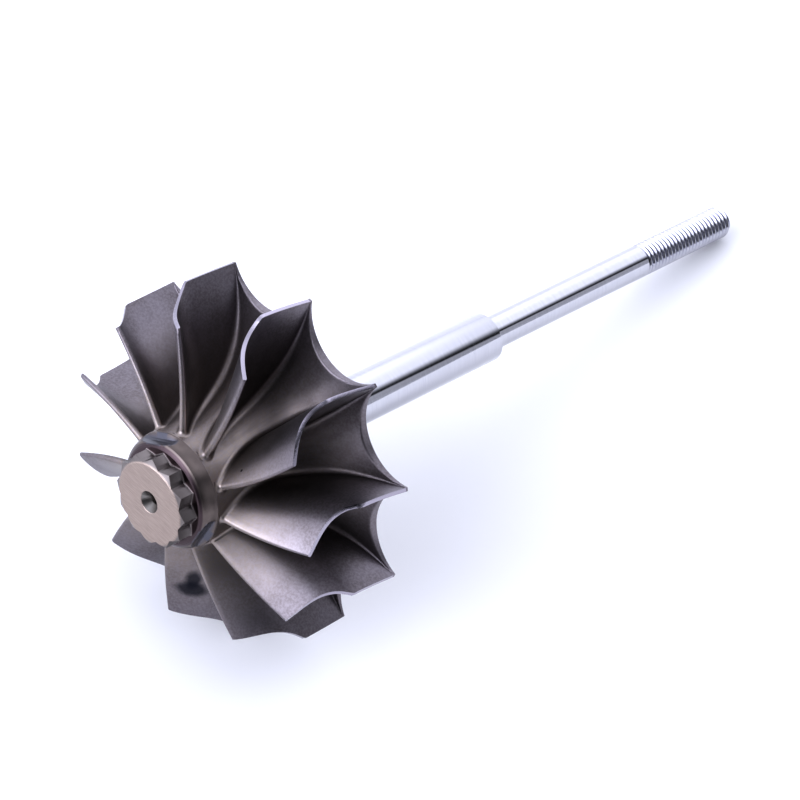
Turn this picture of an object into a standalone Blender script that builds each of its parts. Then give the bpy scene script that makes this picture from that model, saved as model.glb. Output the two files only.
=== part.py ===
"""Turbocharger turbine wheel on its shaft, lying at rest on two blades and the end of its thread.

The rotor is modelled about its own axis and carried by one empty, which lays it on the floor.
Along that axis, station 0 is the ground face of the nose and stations grow toward the thread.
"""
import math

import bmesh
import bpy
from mathutils import Matrix

MM = 0.001

# Wheel, along the axis from the nose face and out from the axis
BLADE_COUNT = 11
WHEEL_RADIUS = 42.5 * MM
LEADING_EDGE_FRONT = 23.64 * MM
DISC_BACK = 37.2 * MM
EXDUCER_RADIUS = 37.44 * MM
EXDUCER_TIP = 12.09 * MM
TRAILING_ROOT_STATION = 9.17 * MM
DISC_RIM_THICKNESS = 0.5 * MM
SCALLOP_BOTTOM = 33.3 * MM
HUB_RADIUS = 13.6 * MM
HUB_SPLIT_STATION = 33.0 * MM

# Blade form
BLADE_TIP_THICKNESS = 1.05 * MM
BLADE_ROOT_THICKNESS = 1.9 * MM
ROOT_FILLET = 3.0 * MM
ROOT_FILLET_SPREAD = 2.2 * MM
ROOT_GAP = 0.25 * MM
BLADE_TURN = 0.3964
BLADE_TURN_LENGTH = 14.47 * MM
BLADE_TURN_POWER = 2.2
LEADING_EDGE_SWEEP = 0.0356
CHORD_STEPS = 14
SPAN_STEPS = 6

# Nose
DRIVE_POINTS = 12
DRIVE_CREST = 10.9 * MM
DRIVE_VALLEY = 9.55 * MM
DRIVE_LENGTH = 4.0 * MM
DRIVE_FACE_RADIUS = 9.3 * MM
DRIVE_CHAMFER = 0.9 * MM
DRIVE_TURN = math.radians(17.0)
CENTRE_HOLE_RADIUS = 2.6 * MM
CENTRE_HOLE_DEPTH = 2.4 * MM
CENTRE_HOLE_TIP = 1.2 * MM
COLLAR_FRONT_RADIUS = 12.2 * MM
COLLAR_FRONT_EDGE = 4.6 * MM
COLLAR_RADIUS = 13.4 * MM
COLLAR_END = 7.8 * MM
BALANCE_FLAT_TURNS = (math.radians(-122.0), math.radians(16.0))
BALANCE_FLAT_DISTANCE = 12.45 * MM
BALANCE_CUT = (4.0 * MM, 16.0 * MM, 6.0 * MM)

# Shaft
BACK_CONE_RADIUS = 30.0 * MM
BOSS_START = 42.0 * MM
BOSS_RADIUS = 9.2 * MM
BOSS_END = 52.0 * MM
RING_GROOVE_START = 46.0 * MM
RING_GROOVE_WIDTH = 1.8 * MM
RING_GROOVE_RADIUS = 7.7 * MM
JOURNAL_START = 56.0 * MM
JOURNAL_RADIUS = 5.875 * MM
JOURNAL_END = 106.8 * MM
JOURNAL_CHAMFER = 0.6 * MM
SHANK_RADIUS = 4.0 * MM
THREAD_START = 161.5 * MM
THREAD_PITCH = 1.25 * MM
THREAD_DEPTH = 0.7 * MM
THREAD_RADIUS = 3.95 * MM
THREAD_END_CHAMFER = 0.7 * MM
THREAD_CREST_HALF = 0.12 * MM
ROTOR_LENGTH = 191.7 * MM

ROUND_SEGMENTS = 66
SHAFT_SEGMENTS = 32
THREAD_SEGMENTS = 16
CUT_MARGIN = 1.0 * MM

BLADE_PITCH = 2.0 * math.pi / BLADE_COUNT

# The two lowest blades touch the floor with their back corners, the thread with its last crest
LOW_CORNER_ANGLE = BLADE_PITCH / 2.0 - 0.5 * BLADE_TIP_THICKNESS / WHEEL_RADIUS
SUPPORT_DEPTH = WHEEL_RADIUS * math.cos(LOW_CORNER_ANGLE)
THREAD_REST_STATION = ROTOR_LENGTH - THREAD_END_CHAMFER + THREAD_CREST_HALF
REST_TILT = math.atan2(SUPPORT_DEPTH - THREAD_RADIUS, THREAD_REST_STATION - DISC_BACK)
NOSE_HEIGHT = DISC_BACK * math.sin(REST_TILT) + SUPPORT_DEPTH * math.cos(REST_TILT)
NOSE_PLACE = (-0.09 * MM, -92.49 * MM, NOSE_HEIGHT)

CAST_ALLOY = ("cast nickel alloy", (0.23, 0.21, 0.22, 1.0), 0.55, 0.9)
GROUND_ALLOY = ("ground nickel alloy", (0.62, 0.56, 0.54, 1.0), 0.4, 0.9)
GROUND_STEEL = ("ground steel", (0.78, 0.78, 0.84, 1.0), 0.15, 1.0)
THREAD_STEEL = ("rolled thread steel", (0.66, 0.67, 0.74, 1.0), 0.25, 1.0)


def clear_scene():
    for old in list(bpy.data.objects):
        bpy.data.objects.remove(old, do_unlink=True)


def new_collection(name):
    collection = bpy.data.collections.new(name)
    bpy.context.scene.collection.children.link(collection)
    return collection


def material(finish):
    name, colour, roughness, metallic = finish
    found = bpy.data.materials.get(name)
    if found:
        return found
    made = bpy.data.materials.new(name)
    made.use_nodes = True
    shader = made.node_tree.nodes["Principled BSDF"]
    shader.inputs["Base Color"].default_value = colour
    shader.inputs["Roughness"].default_value = roughness
    shader.inputs["Metallic"].default_value = metallic
    return made


def add_object(name, mesh, finish, rotor):
    """Put a mesh on the rotor as a named piece."""
    piece = bpy.data.objects.new(name, mesh)
    piece.parent = rotor
    mesh.materials.append(material(finish))
    bpy.data.collections["turbine_wheel"].objects.link(piece)
    return piece


def shade(piece):
    piece.data.shade_smooth()
    piece.data.set_sharp_from_angle(angle=math.radians(35.0))


def profile_mesh(name, profile):
    """Mesh of an open profile, given from nose to tail and stored from tail to nose for Screw."""
    mesh = bpy.data.meshes.new(name)
    points = [(radius, 0.0, station) for station, radius in reversed(profile)]
    mesh.from_pydata(points, [(i, i + 1) for i in range(len(points) - 1)], [])
    return mesh


def add_screw(piece, segments):
    turn = piece.modifiers.new("turn", "SCREW")
    turn.axis = "Z"
    turn.steps = segments
    turn.render_steps = segments
    turn.use_merge_vertices = True
    turn.merge_threshold = 0.00001


def turned(name, profile, finish, rotor, segments):
    """A piece turned about the rotor axis from (station, radius) points."""
    piece = add_object(name, profile_mesh(name, profile), finish, rotor)
    add_screw(piece, segments)
    return piece


def cutter(name, mesh, rotor):
    tool = bpy.data.objects.new(name, mesh)
    tool.parent = rotor
    tool.hide_render = True
    tool.display_type = "WIRE"
    bpy.data.collections["cutters"].objects.link(tool)
    return tool


def cut(piece, tool, operation="DIFFERENCE"):
    boolean = piece.modifiers.new(tool.name, "BOOLEAN")
    boolean.operation = operation
    boolean.object = tool


def cylinder_mesh(name, radius, start, end, segments, places=((0.0, 0.0),)):
    """One mesh with a cylinder along the axis direction at each (x, y) place."""
    shape = bmesh.new()
    for x, y in places:
        made = bmesh.ops.create_cone(shape, cap_ends=True, segments=segments, radius1=radius,
                                     radius2=radius, depth=end - start)
        bmesh.ops.translate(shape, verts=made["verts"], vec=(x, y, (start + end) / 2.0))
    mesh = bpy.data.meshes.new(name)
    shape.to_mesh(mesh)
    shape.free()
    return mesh


def bezier(points, t):
    """Point of a cubic Bezier curve in the (station, radius) plane."""
    weights = ((1 - t) ** 3, 3 * t * (1 - t) ** 2, 3 * t * t * (1 - t), t ** 3)
    return tuple(sum(w * p[axis] for w, p in zip(weights, points)) for axis in range(2))


def hub_curve(t):
    """Hub line from the collar, first along the axis and then out along the front of the disc."""
    return bezier(((COLLAR_END, HUB_RADIUS), (26.0 * MM, 13.2 * MM), (35.8 * MM, 24.8 * MM),
                   (DISC_BACK - DISC_RIM_THICKNESS, WHEEL_RADIUS)), t)


def hub_parameter(station):
    """Parameter of the hub line at a station, found by halving."""
    low, high = 0.0, 1.0
    for _ in range(40):
        middle = (low + high) / 2.0
        if hub_curve(middle)[0] < station:
            low = middle
        else:
            high = middle
    return high


def clear_of_hub(t):
    """Point of the hub line moved off the hub by the root gap."""
    step = 0.001
    before = hub_curve(max(t - step, 0.0))
    after = hub_curve(min(t + step, 1.0))
    along = (after[0] - before[0], after[1] - before[1])
    length = math.hypot(*along)
    station, radius = hub_curve(t)
    return station - ROOT_GAP * along[1] / length, radius + ROOT_GAP * along[0] / length


def shroud_curve(q):
    """Ground outer edge of a blade, from the exducer tip (q = 0) to the leading edge (q = 1)."""
    station = EXDUCER_TIP + q * (LEADING_EDGE_FRONT - EXDUCER_TIP)
    rise = (WHEEL_RADIUS - EXDUCER_RADIUS) * q
    sag = q * (1.0 - q) * (3.935 + 6.921 * q - 3.208 * q * q) * MM
    return station, EXDUCER_RADIUS + rise - sag


def camber(station):
    """Angle of the blade about the axis, from the back corner of its leading edge."""
    if station >= LEADING_EDGE_FRONT:
        along = (DISC_BACK - station) / (DISC_BACK - LEADING_EDGE_FRONT)
        return -LEADING_EDGE_SWEEP * (1.0 - (1.0 - along) ** 1.5)
    along = (LEADING_EDGE_FRONT - station) / BLADE_TURN_LENGTH
    return BLADE_TURN * along ** BLADE_TURN_POWER - LEADING_EDGE_SWEEP


def camber_slope(station):
    step = 0.05 * MM
    return (camber(station + step) - camber(station - step)) / (2.0 * step)


def blade_outline(t):
    """Root and tip points of the blade at chord position t, from trailing to leading edge."""
    first = hub_parameter(TRAILING_ROOT_STATION)
    last = 0.985
    root = clear_of_hub(first + (last - first) * t)
    if t <= 0.5:
        return root, shroud_curve(2.0 * t)
    leading_end = clear_of_hub(1.0)[0]
    tip_station = LEADING_EDGE_FRONT + (leading_end - LEADING_EDGE_FRONT) * (2.0 * t - 1.0)
    return root, (tip_station, WHEEL_RADIUS)


def blade_point(t, span, side):
    """Point on one face of the blade: side is +1 or -1, span runs from root (0) to tip (1)."""
    root, tip = blade_outline(t)
    station = root[0] + (tip[0] - root[0]) * span
    radius = root[1] + (tip[1] - root[1]) * span
    height = span * math.hypot(tip[0] - root[0], tip[1] - root[1])
    thickness = BLADE_ROOT_THICKNESS + (BLADE_TIP_THICKNESS - BLADE_ROOT_THICKNESS) * span
    blend = max(0.0, 1.0 - height / ROOT_FILLET)
    end_fade = min(1.0, 5.0 * t, 6.0 * (1.0 - t))
    thickness += ROOT_FILLET_SPREAD * blend * blend * end_fade
    skew = math.hypot(1.0, radius * camber_slope(station))
    angle = camber(station) + side * 0.5 * thickness * skew / radius
    return radius * math.cos(angle), radius * math.sin(angle), station


def blade_mesh():
    """A blade lofted between the hub line and its outer edges, thicker and flared at the root."""
    shape = bmesh.new()
    spans = [(j / SPAN_STEPS) ** 1.5 for j in range(SPAN_STEPS + 1)]
    faces = []
    for side in (1.0, -1.0):
        faces.append([[shape.verts.new(blade_point(i / CHORD_STEPS, span, side)) for span in spans]
                      for i in range(CHORD_STEPS + 1)])
    for grid in faces:
        for i in range(CHORD_STEPS):
            for j in range(SPAN_STEPS):
                shape.faces.new((grid[i][j], grid[i + 1][j], grid[i + 1][j + 1], grid[i][j + 1]))
    first, second = (rim_vertices(grid) for grid in faces)
    for k in range(len(first)):
        after = (k + 1) % len(first)
        shape.faces.new((first[k], first[after], second[after], second[k]))
    bmesh.ops.recalc_face_normals(shape, faces=shape.faces)
    mesh = bpy.data.meshes.new("blade")
    shape.to_mesh(mesh)
    shape.free()
    return mesh


def rim_vertices(grid):
    """Vertices round the edge of a blade face, in order."""
    root = [row[0] for row in grid]
    tip = [row[-1] for row in grid]
    return root + grid[-1][1:-1] + tip[::-1] + grid[0][-2:0:-1]


def add_blades(rotor):
    """Eleven equal blades, set so that two of them straddle the lowest line of the wheel."""
    mesh = blade_mesh()
    mesh.materials.append(material(CAST_ALLOY))
    for index in range(BLADE_COUNT):
        blade = bpy.data.objects.new(f"blade_{index + 1:02d}", mesh)
        blade.parent = rotor
        blade.rotation_euler.z = math.pi / 2.0 + (index - BLADE_COUNT + 1.5) * BLADE_PITCH
        bpy.data.collections["turbine_wheel"].objects.link(blade)
        shade(blade)


def add_nose_drive(rotor):
    """Twelve-point nose for the nut runner, chamfered in front, with a centre-drilled hole."""
    shape = bmesh.new()
    made = bmesh.ops.create_cone(shape, cap_ends=True, segments=2 * DRIVE_POINTS, radius1=DRIVE_CREST,
                                 radius2=DRIVE_CREST, depth=DRIVE_LENGTH)
    for vert in made["verts"]:
        angle = math.atan2(vert.co.y, vert.co.x)
        if round(angle / (math.pi / DRIVE_POINTS)) % 2:
            vert.co.x *= DRIVE_VALLEY / DRIVE_CREST
            vert.co.y *= DRIVE_VALLEY / DRIVE_CREST
    bmesh.ops.rotate(shape, verts=made["verts"], matrix=Matrix.Rotation(DRIVE_TURN, 3, "Z"))
    bmesh.ops.translate(shape, verts=made["verts"], vec=(0.0, 0.0, DRIVE_LENGTH / 2.0))
    mesh = bpy.data.meshes.new("nose_drive")
    shape.to_mesh(mesh)
    shape.free()
    drive = add_object("nose_drive", mesh, GROUND_ALLOY, rotor)
    slope = (DRIVE_CREST - DRIVE_FACE_RADIUS) / DRIVE_CHAMFER
    cone_end = DRIVE_LENGTH + CUT_MARGIN
    chamfer_profile = [(0.0, 0.0), (0.0, DRIVE_FACE_RADIUS), (cone_end, DRIVE_FACE_RADIUS + slope * cone_end),
                       (cone_end, 0.0)]
    chamfer = cutter("nose_chamfer", profile_mesh("nose_chamfer", chamfer_profile), rotor)
    add_screw(chamfer, SHAFT_SEGMENTS)
    cut(drive, chamfer, "INTERSECT")
    hole_profile = [(-CUT_MARGIN, 0.0), (-CUT_MARGIN, CENTRE_HOLE_RADIUS), (CENTRE_HOLE_DEPTH, CENTRE_HOLE_RADIUS),
                    (CENTRE_HOLE_DEPTH + CENTRE_HOLE_TIP, 0.0)]
    hole = cutter("centre_drill", profile_mesh("centre_drill", hole_profile), rotor)
    add_screw(hole, SHAFT_SEGMENTS)
    cut(drive, hole)


def add_nose_collar(rotor):
    """Collar behind the twelve points, with a flat ground on it at two places for balance."""
    profile = [(DRIVE_LENGTH, 0.0), (DRIVE_LENGTH, 11.5 * MM), (COLLAR_FRONT_EDGE, COLLAR_FRONT_RADIUS),
               (6.2 * MM, 13.1 * MM), (COLLAR_END, COLLAR_RADIUS), (COLLAR_END, 0.0)]
    collar = turned("nose_collar", profile, GROUND_ALLOY, rotor, ROUND_SEGMENTS)
    for index, angle in enumerate(BALANCE_FLAT_TURNS):
        shape = bmesh.new()
        bmesh.ops.create_cube(shape, size=1.0)
        bmesh.ops.scale(shape, verts=shape.verts, vec=BALANCE_CUT)
        mesh = bpy.data.meshes.new("balance_cut")
        shape.to_mesh(mesh)
        shape.free()
        tool = cutter(f"balance_cut_{index + 1}", mesh, rotor)
        reach = BALANCE_FLAT_DISTANCE + BALANCE_CUT[0] / 2.0
        tool.location = (reach * math.cos(angle), reach * math.sin(angle), COLLAR_END - CUT_MARGIN)
        tool.rotation_euler.z = angle
        cut(collar, tool)


def add_hub(rotor):
    """Front of the hub, from the collar to the plane where the back disc begins."""
    end = hub_parameter(HUB_SPLIT_STATION)
    line = [hub_curve(end * k / 9.0) for k in range(10)]
    profile = [(COLLAR_END, 0.0)] + line + [(line[-1][0], 0.0)]
    turned("hub", profile, CAST_ALLOY, rotor, ROUND_SEGMENTS)


def add_back_disc(rotor):
    """Back disc with a scallop between each pair of blades and a cone toward the shaft."""
    start = hub_parameter(HUB_SPLIT_STATION)
    line = [hub_curve(start + (1.0 - start) * k / 5.0) for k in range(6)]
    back = [(DISC_BACK, WHEEL_RADIUS), (DISC_BACK, BACK_CONE_RADIUS), (39.0 * MM, 15.0 * MM),
            (40.4 * MM, 11.2 * MM), (BOSS_START, 10.0 * MM), (BOSS_START, 0.0)]
    profile = [(line[0][0], 0.0)] + line + back
    disc = turned("back_disc", profile, CAST_ALLOY, rotor, ROUND_SEGMENTS)
    half = LOW_CORNER_ANGLE
    tip = (WHEEL_RADIUS * math.cos(half), WHEEL_RADIUS * math.sin(half))
    centre = (tip[0] ** 2 + tip[1] ** 2 - SCALLOP_BOTTOM ** 2) / (2.0 * (tip[0] - SCALLOP_BOTTOM))
    angles = [math.pi / 2.0 + index * BLADE_PITCH for index in range(BLADE_COUNT)]
    places = [(centre * math.cos(angle), centre * math.sin(angle)) for angle in angles]
    mesh = cylinder_mesh("scallops", centre - SCALLOP_BOTTOM, HUB_SPLIT_STATION - 5.0 * MM,
                         DISC_BACK + CUT_MARGIN, 36, places)
    cut(disc, cutter("scallops", mesh, rotor))


def add_seal_boss(rotor):
    """Boss behind the disc with the groove of the sealing ring."""
    groove_end = RING_GROOVE_START + RING_GROOVE_WIDTH
    profile = [(BOSS_START, 0.0), (BOSS_START, BOSS_RADIUS), (RING_GROOVE_START, BOSS_RADIUS),
               (RING_GROOVE_START, RING_GROOVE_RADIUS), (groove_end, RING_GROOVE_RADIUS),
               (groove_end, BOSS_RADIUS), (BOSS_END, BOSS_RADIUS), (BOSS_END, 0.0)]
    turned("seal_boss", profile, GROUND_STEEL, rotor, SHAFT_SEGMENTS)


def add_shaft(rotor):
    """Neck behind the boss, bearing journal, shank for the compressor wheel and threaded end."""
    neck = [(BOSS_END, 0.0), (BOSS_END, 7.6 * MM), (53.2 * MM, 6.4 * MM), (54.6 * MM, JOURNAL_RADIUS),
            (JOURNAL_START, JOURNAL_RADIUS), (JOURNAL_START, 0.0)]
    turned("shaft_neck", neck, GROUND_STEEL, rotor, SHAFT_SEGMENTS)
    journal = [(JOURNAL_START, 0.0), (JOURNAL_START, JOURNAL_RADIUS),
               (JOURNAL_END - JOURNAL_CHAMFER, JOURNAL_RADIUS),
               (JOURNAL_END, JOURNAL_RADIUS - JOURNAL_CHAMFER), (JOURNAL_END, 0.0)]
    turned("bearing_journal", journal, GROUND_STEEL, rotor, SHAFT_SEGMENTS)
    shank = [(JOURNAL_END, 0.0), (JOURNAL_END, SHANK_RADIUS), (THREAD_START, SHANK_RADIUS), (THREAD_START, 0.0)]
    turned("compressor_shank", shank, GROUND_STEEL, rotor, SHAFT_SEGMENTS)


def add_threaded_end(rotor):
    """Threaded end, with each turn of the thread as a ring of the same pitch and depth."""
    root = THREAD_RADIUS - THREAD_DEPTH
    last = ROTOR_LENGTH - THREAD_END_CHAMFER
    turns = int((last - THREAD_START - THREAD_CREST_HALF) / THREAD_PITCH)
    first = last - turns * THREAD_PITCH
    profile = [(THREAD_START, 0.0), (THREAD_START, root)]
    for turn in range(turns + 1):
        crest = first + turn * THREAD_PITCH
        if turn:
            profile.append((crest - THREAD_PITCH / 2.0, root))
        profile.append((crest - THREAD_CREST_HALF, THREAD_RADIUS))
        profile.append((crest + THREAD_CREST_HALF, THREAD_RADIUS))
    profile += [(ROTOR_LENGTH, root), (ROTOR_LENGTH, 0.0)]
    turned("threaded_end", profile, THREAD_STEEL, rotor, THREAD_SEGMENTS)


def add_rotor():
    """The empty that lays the rotor down: its Z axis runs from the nose to the thread."""
    rotor = bpy.data.objects.new("rotor", None)
    rotor.location = NOSE_PLACE
    rotor.rotation_euler = (-(math.pi / 2.0 + REST_TILT), 0.0, 0.0)
    bpy.data.collections["turbine_wheel"].objects.link(rotor)
    return rotor


def main():
    clear_scene()
    new_collection("turbine_wheel")
    new_collection("cutters")
    rotor = add_rotor()
    add_nose_drive(rotor)
    add_nose_collar(rotor)
    add_hub(rotor)
    add_back_disc(rotor)
    add_blades(rotor)
    add_seal_boss(rotor)
    add_shaft(rotor)
    add_threaded_end(rotor)


main()
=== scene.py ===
"""Looks of the turbocharger turbine wheel: one casting with eleven blades, and its ground shaft.

Lengths are in millimetres until a finished mesh is placed. A station is a distance along the rotor
axis from the ground nose face. Angles run round the axis, and the lowest line of the wheel is at 90.
"""
import math

import bmesh
import bpy
import numpy as np
from mathutils import Euler, Matrix, Vector
from mathutils.bvhtree import BVHTree


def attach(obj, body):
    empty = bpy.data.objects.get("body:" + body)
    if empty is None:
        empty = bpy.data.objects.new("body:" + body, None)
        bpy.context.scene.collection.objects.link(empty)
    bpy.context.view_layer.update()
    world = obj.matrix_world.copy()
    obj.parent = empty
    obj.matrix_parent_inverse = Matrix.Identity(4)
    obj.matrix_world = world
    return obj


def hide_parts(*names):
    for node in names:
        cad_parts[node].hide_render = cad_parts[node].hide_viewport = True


MM = 0.001

# Distances under which points are merged or count as one, and the halvings of a search
WELD_DISTANCE = 2e-4
SAME_POINT = 1e-5
HALVINGS = 45

# Camera at the photograph's view, in millimetres and degrees, with its lens for a 36 mm sensor
CAMERA_PLACE = (387.52, -423.325, 717.407)
CAMERA_TURN = (38.8684, -2.7758, 47.0279)
CAMERA_LENS = 173.81
CAMERA_NEAR = 0.01

# Wheel
BLADE_COUNT = 11
WHEEL_RADIUS = 42.5
LEADING_EDGE_FRONT = 23.64
DISC_BACK = 37.2
DISC_RIM = 0.5
DISC_FRONT = DISC_BACK - DISC_RIM
SCALLOP_BOTTOM = 33.3
EXDUCER_RADIUS = 37.44
EXDUCER_TIP = 12.09
SHROUD_BEND = (3.935, 6.921, -3.208)
TRAILING_ROOT = 9.17
HUB_START = 7.8
HUB_RADIUS = 13.6
HUB_BENDS = ((26.0, 13.2), (35.8, 24.8))
BLADE_PITCH = 2.0 * math.pi / BLADE_COUNT

# Blades: thickness, the curve of their middle in radians about the axis, and the crown of the edge
TIP_THICKNESS = 0.9
ROOT_THICKNESS = 1.9
ROOT_SWELL_LENGTH = 0.4
BLADE_TURN = 0.3964
BLADE_TURN_LENGTH = 14.47
BLADE_TURN_POWER = 2.2
LEADING_EDGE_SWEEP = 0.0356
LEADING_EDGE_POWER = 1.5
EDGE_CROWN = 0.04

# Cast fillets at the blades' feet: three sizes, then shares of the chord and of the blade's span
FILLET_FRONT = 0.9
FILLET_MIDDLE = 1.5
FILLET_BACK = 0.12
FILLET_GROWN = 0.35
FILLET_FADE = 0.45
FILLET_FADE_POWER = 0.8
FILLET_SPAN_LIMIT = 0.45

# Hub floor and disc: where a foot's place is found by radius, the rounded rim, and the hidden back
FOOT_SWITCH = 28.0
RIM_POWER = 3.2
RIM_ROUND = ((0.35, 0.0), (0.1, 0.1), (0.0, 0.35))
RIM_BACK_ROUND = 0.3
DISC_CONE_START = 30.0
DISC_CONE_WIDTH = 15.0
DISC_CONE_RISE = 1.5
DISC_CONE_POWER = 1.6
DISC_BACK_INNER = 9.0
DISC_BACK_ROWS = 14

# Rays that measure how open the space before each point of the casting is, which sets the painted shade in
# the passages
RAY_COUNT = 48
RAY_START = 0.08
RAY_LENGTH = 60.0

# Nose
DRIVE_POINTS = 12
DRIVE_CREST = 10.9
DRIVE_VALLEY = 9.55
DRIVE_LENGTH = 4.0
DRIVE_FACE_RADIUS = 9.55
DRIVE_FACE_OFFSET = 0.42
DRIVE_FACE_OFFSET_TURN = 71.0
DRIVE_CHAMFER_SLOPE = 3.0
DRIVE_TURN = 17.0
CENTRE_HOLE_RADIUS = 2.6
CENTRE_CONE_DEPTH = 1.8
CENTRE_DRILL_RADIUS = 1.3
CENTRE_HOLE_DEPTH = 3.4
COLLAR_LINE = ((DRIVE_LENGTH, 11.4), (4.15, 11.8), (4.5, 12.25), (4.8, 12.6), (5.4, 12.95), (6.2, 13.2),
               (7.0, 13.36), (7.5, 13.5), (HUB_START, HUB_RADIUS))
BALANCE_FLATS = (-122.0, 16.0)
BALANCE_DISTANCE = 12.0
BALANCE_RUN_OUT = (6.9, 7.6)
COLLAR_STEPS = 360
FAR_OUT = 50.0

# Shaft
BOSS_ROOT = (38.0, 9.0)
BOSS_START = 42.0
BOSS_RADIUS = 9.2
BOSS_END = 52.0
BOSS_CHAMFER = 0.4
RING_GROOVE = (46.0, 47.8)
RING_GROOVE_RADIUS = 7.7
GROOVE_EDGE = 0.1
NECK_LINE = ((BOSS_END, 7.6), (53.2, 6.4))
NECK_END = 54.6
JOURNAL_START = 56.0
JOURNAL_RADIUS = 5.875
JOURNAL_END = 106.8
JOURNAL_CHAMFER = ((0.7, 0.0), (0.55, 0.04), (0.05, 0.6), (0.0, 0.7))
SHANK_RADIUS = 4.0
RUN_OUT = (160.4, 161.6)
HELIX_START = 160.1
HELIX_END = 191.0
THREAD_PITCH = 1.25
THREAD_RADIUS = 3.95
THREAD_DEPTH = 0.7
THREAD_END_CHAMFER = 0.3
THREAD_SINK = 0.02
CORE_SEGMENTS = 64
HELIX_STEPS = 56
ROTOR_LENGTH = 191.7

# Thread's tooth: half widths as shares of the pitch, and how it fades by shares of the helix
TOOTH_ROOT_HALF = 0.44
TOOTH_CREST_HALF = 0.07
TOOTH_GROWN = 0.03
TOOTH_SHRINKS = 0.965
TOOTH_FIRST_SIZE = 0.05
TOOTH_LAST_SIZE = 0.15

# Marks on the casting, in the rotor's axes: a dark smudge on one blade, and a small pit on another, painted
# as a dark spot for the shade inside it
SMUDGE_SPOTS = (((5.6, 27.2, 14.9), (1.9, 2.7, 1.2)), ((6.0, 29.6, 14.6), (3.6, 2.0, 1.2)))
SMUDGE_SOFT = 0.42
SMUDGE_RAGGED = 0.35
SMUDGE_STRENGTH = 0.88
PIT_PLACE = (13.12, -14.64, 11.85)
PIT_SIZE = (0.34, 0.34, 0.34)
PIT_SOFT = 0.3

# Features of the casting's skin
CLOUD_SIZE = 9.0
GRAIN_SIZE = 0.55
GRAIN_DEPTH = 0.035

# Studio light: an even room with soft white panels by azimuth, elevation and strength. The last three
# are below zero, for the side of the room that no lamp reaches.
ROOM_LIGHT = 0.95
PANELS = ((252.0, 35.0, 5.0), (30.0, 62.0, 0.9), (150.0, 62.0, 0.7), (36.0, 35.0, 0.3),
          (72.0, 35.0, 0.4), (108.0, 35.0, 0.4), (140.0, 24.0, 1.1), (195.0, 10.0, 0.4),
          (225.0, 10.0, 1.4), (255.0, 10.0, 2.3), (297.0, 14.0, -0.8), (328.0, 20.0, -0.85),
          (285.0, 60.0, -0.75))
PANEL_SOFTNESS = 11.0

# The unlit gap: its side, and the light across it, each a ramp from one cosine to another
GAP_SIDE = (0.8375, -0.1243, -0.5245)
GAP_RAMPS = ((-0.24, 0.13, 1.0, 0.03), (0.17, 0.24, 0.0, 0.5), (0.38, 0.46, 0.0, 0.1))

# Colour and strength of the light, the floor, and the picture's gamma
LIGHT_COLOUR = "#edf0ff"
LIGHT_SCALE = 1.18
FLOOR_HALF = 4.0
FLOOR_GLOW = 0.1
VIEW_GAMMA = 0.85

# How the rotor lies: its nose face's height and place, and the slope of its axis
REST_TILT = math.radians(13.5072)
NOSE_PLACE = (-0.09, -92.49, 48.48)
ROTOR_TURN = (-(math.pi / 2.0 + REST_TILT), 0.0, 0.0)


def rotor_matrix():
    """From the rotor's own axes in millimetres to the model's frame in metres."""
    place = Matrix.Translation(Vector(NOSE_PLACE) * MM)
    return place @ Euler(ROTOR_TURN).to_matrix().to_4x4() @ Matrix.Scale(MM, 4)


def ease(value):
    """Smooth step from 0 to 1."""
    value = np.clip(value, 0.0, 1.0)
    return value * value * (3.0 - 2.0 * value)


def hub_line(t):
    """Station and radius of the hub line, from the collar (t = 0) to the rim of the disc (t = 1)."""
    points = ((HUB_START, HUB_RADIUS),) + HUB_BENDS + ((DISC_FRONT, WHEEL_RADIUS),)
    weights = ((1 - t) ** 3, 3 * t * (1 - t) ** 2, 3 * t * t * (1 - t), t ** 3)
    return tuple(sum(w * p[axis] for w, p in zip(weights, points)) for axis in range(2))


def solve(function, goal, low, high):
    """Where a rising function of an array reaches the goal, by halving."""
    low = np.full_like(goal, low)
    high = np.full_like(goal, high)
    for _ in range(HALVINGS):
        middle = (low + high) / 2.0
        short = function(middle) < goal
        low = np.where(short, middle, low)
        high = np.where(short, high, middle)
    return (low + high) / 2.0


def shroud_radius(station):
    """Radius of the blades' ground outer edge."""
    q = (station - EXDUCER_TIP) / (LEADING_EDGE_FRONT - EXDUCER_TIP)
    curve = EXDUCER_RADIUS + (WHEEL_RADIUS - EXDUCER_RADIUS) * q
    inside = np.clip(q, 0.0, 1.0)
    even, first, second = SHROUD_BEND
    curve = curve - inside * (1.0 - inside) * (even + first * inside + second * inside ** 2)
    return np.where(q > 1.0, WHEEL_RADIUS, curve)


def camber(station):
    """Angle of the blade's middle about the axis, from the back corner of its leading edge."""
    back = np.clip((DISC_FRONT - station) / (DISC_FRONT - LEADING_EDGE_FRONT), 0.0, 1.0)
    front = np.clip((LEADING_EDGE_FRONT - station) / BLADE_TURN_LENGTH, 0.0, None)
    swept = LEADING_EDGE_SWEEP * (1.0 - (1.0 - back) ** LEADING_EDGE_POWER)
    return BLADE_TURN * front ** BLADE_TURN_POWER - swept


def skew(station, radius):
    """How much longer the blade's thickness is along a circle than square to the blade."""
    step = 0.02
    slope = (camber(station + step) - camber(station - step)) / (2.0 * step)
    return np.hypot(1.0, radius * slope), radius * slope


FINGER_HALF_ANGLE = 0.5 * TIP_THICKNESS * float(skew(DISC_FRONT, WHEEL_RADIUS)[0]) / WHEEL_RADIUS
HUB_FIRST = float(solve(lambda t: hub_line(t)[0], np.array(TRAILING_ROOT), 0.0, 1.0))


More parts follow.
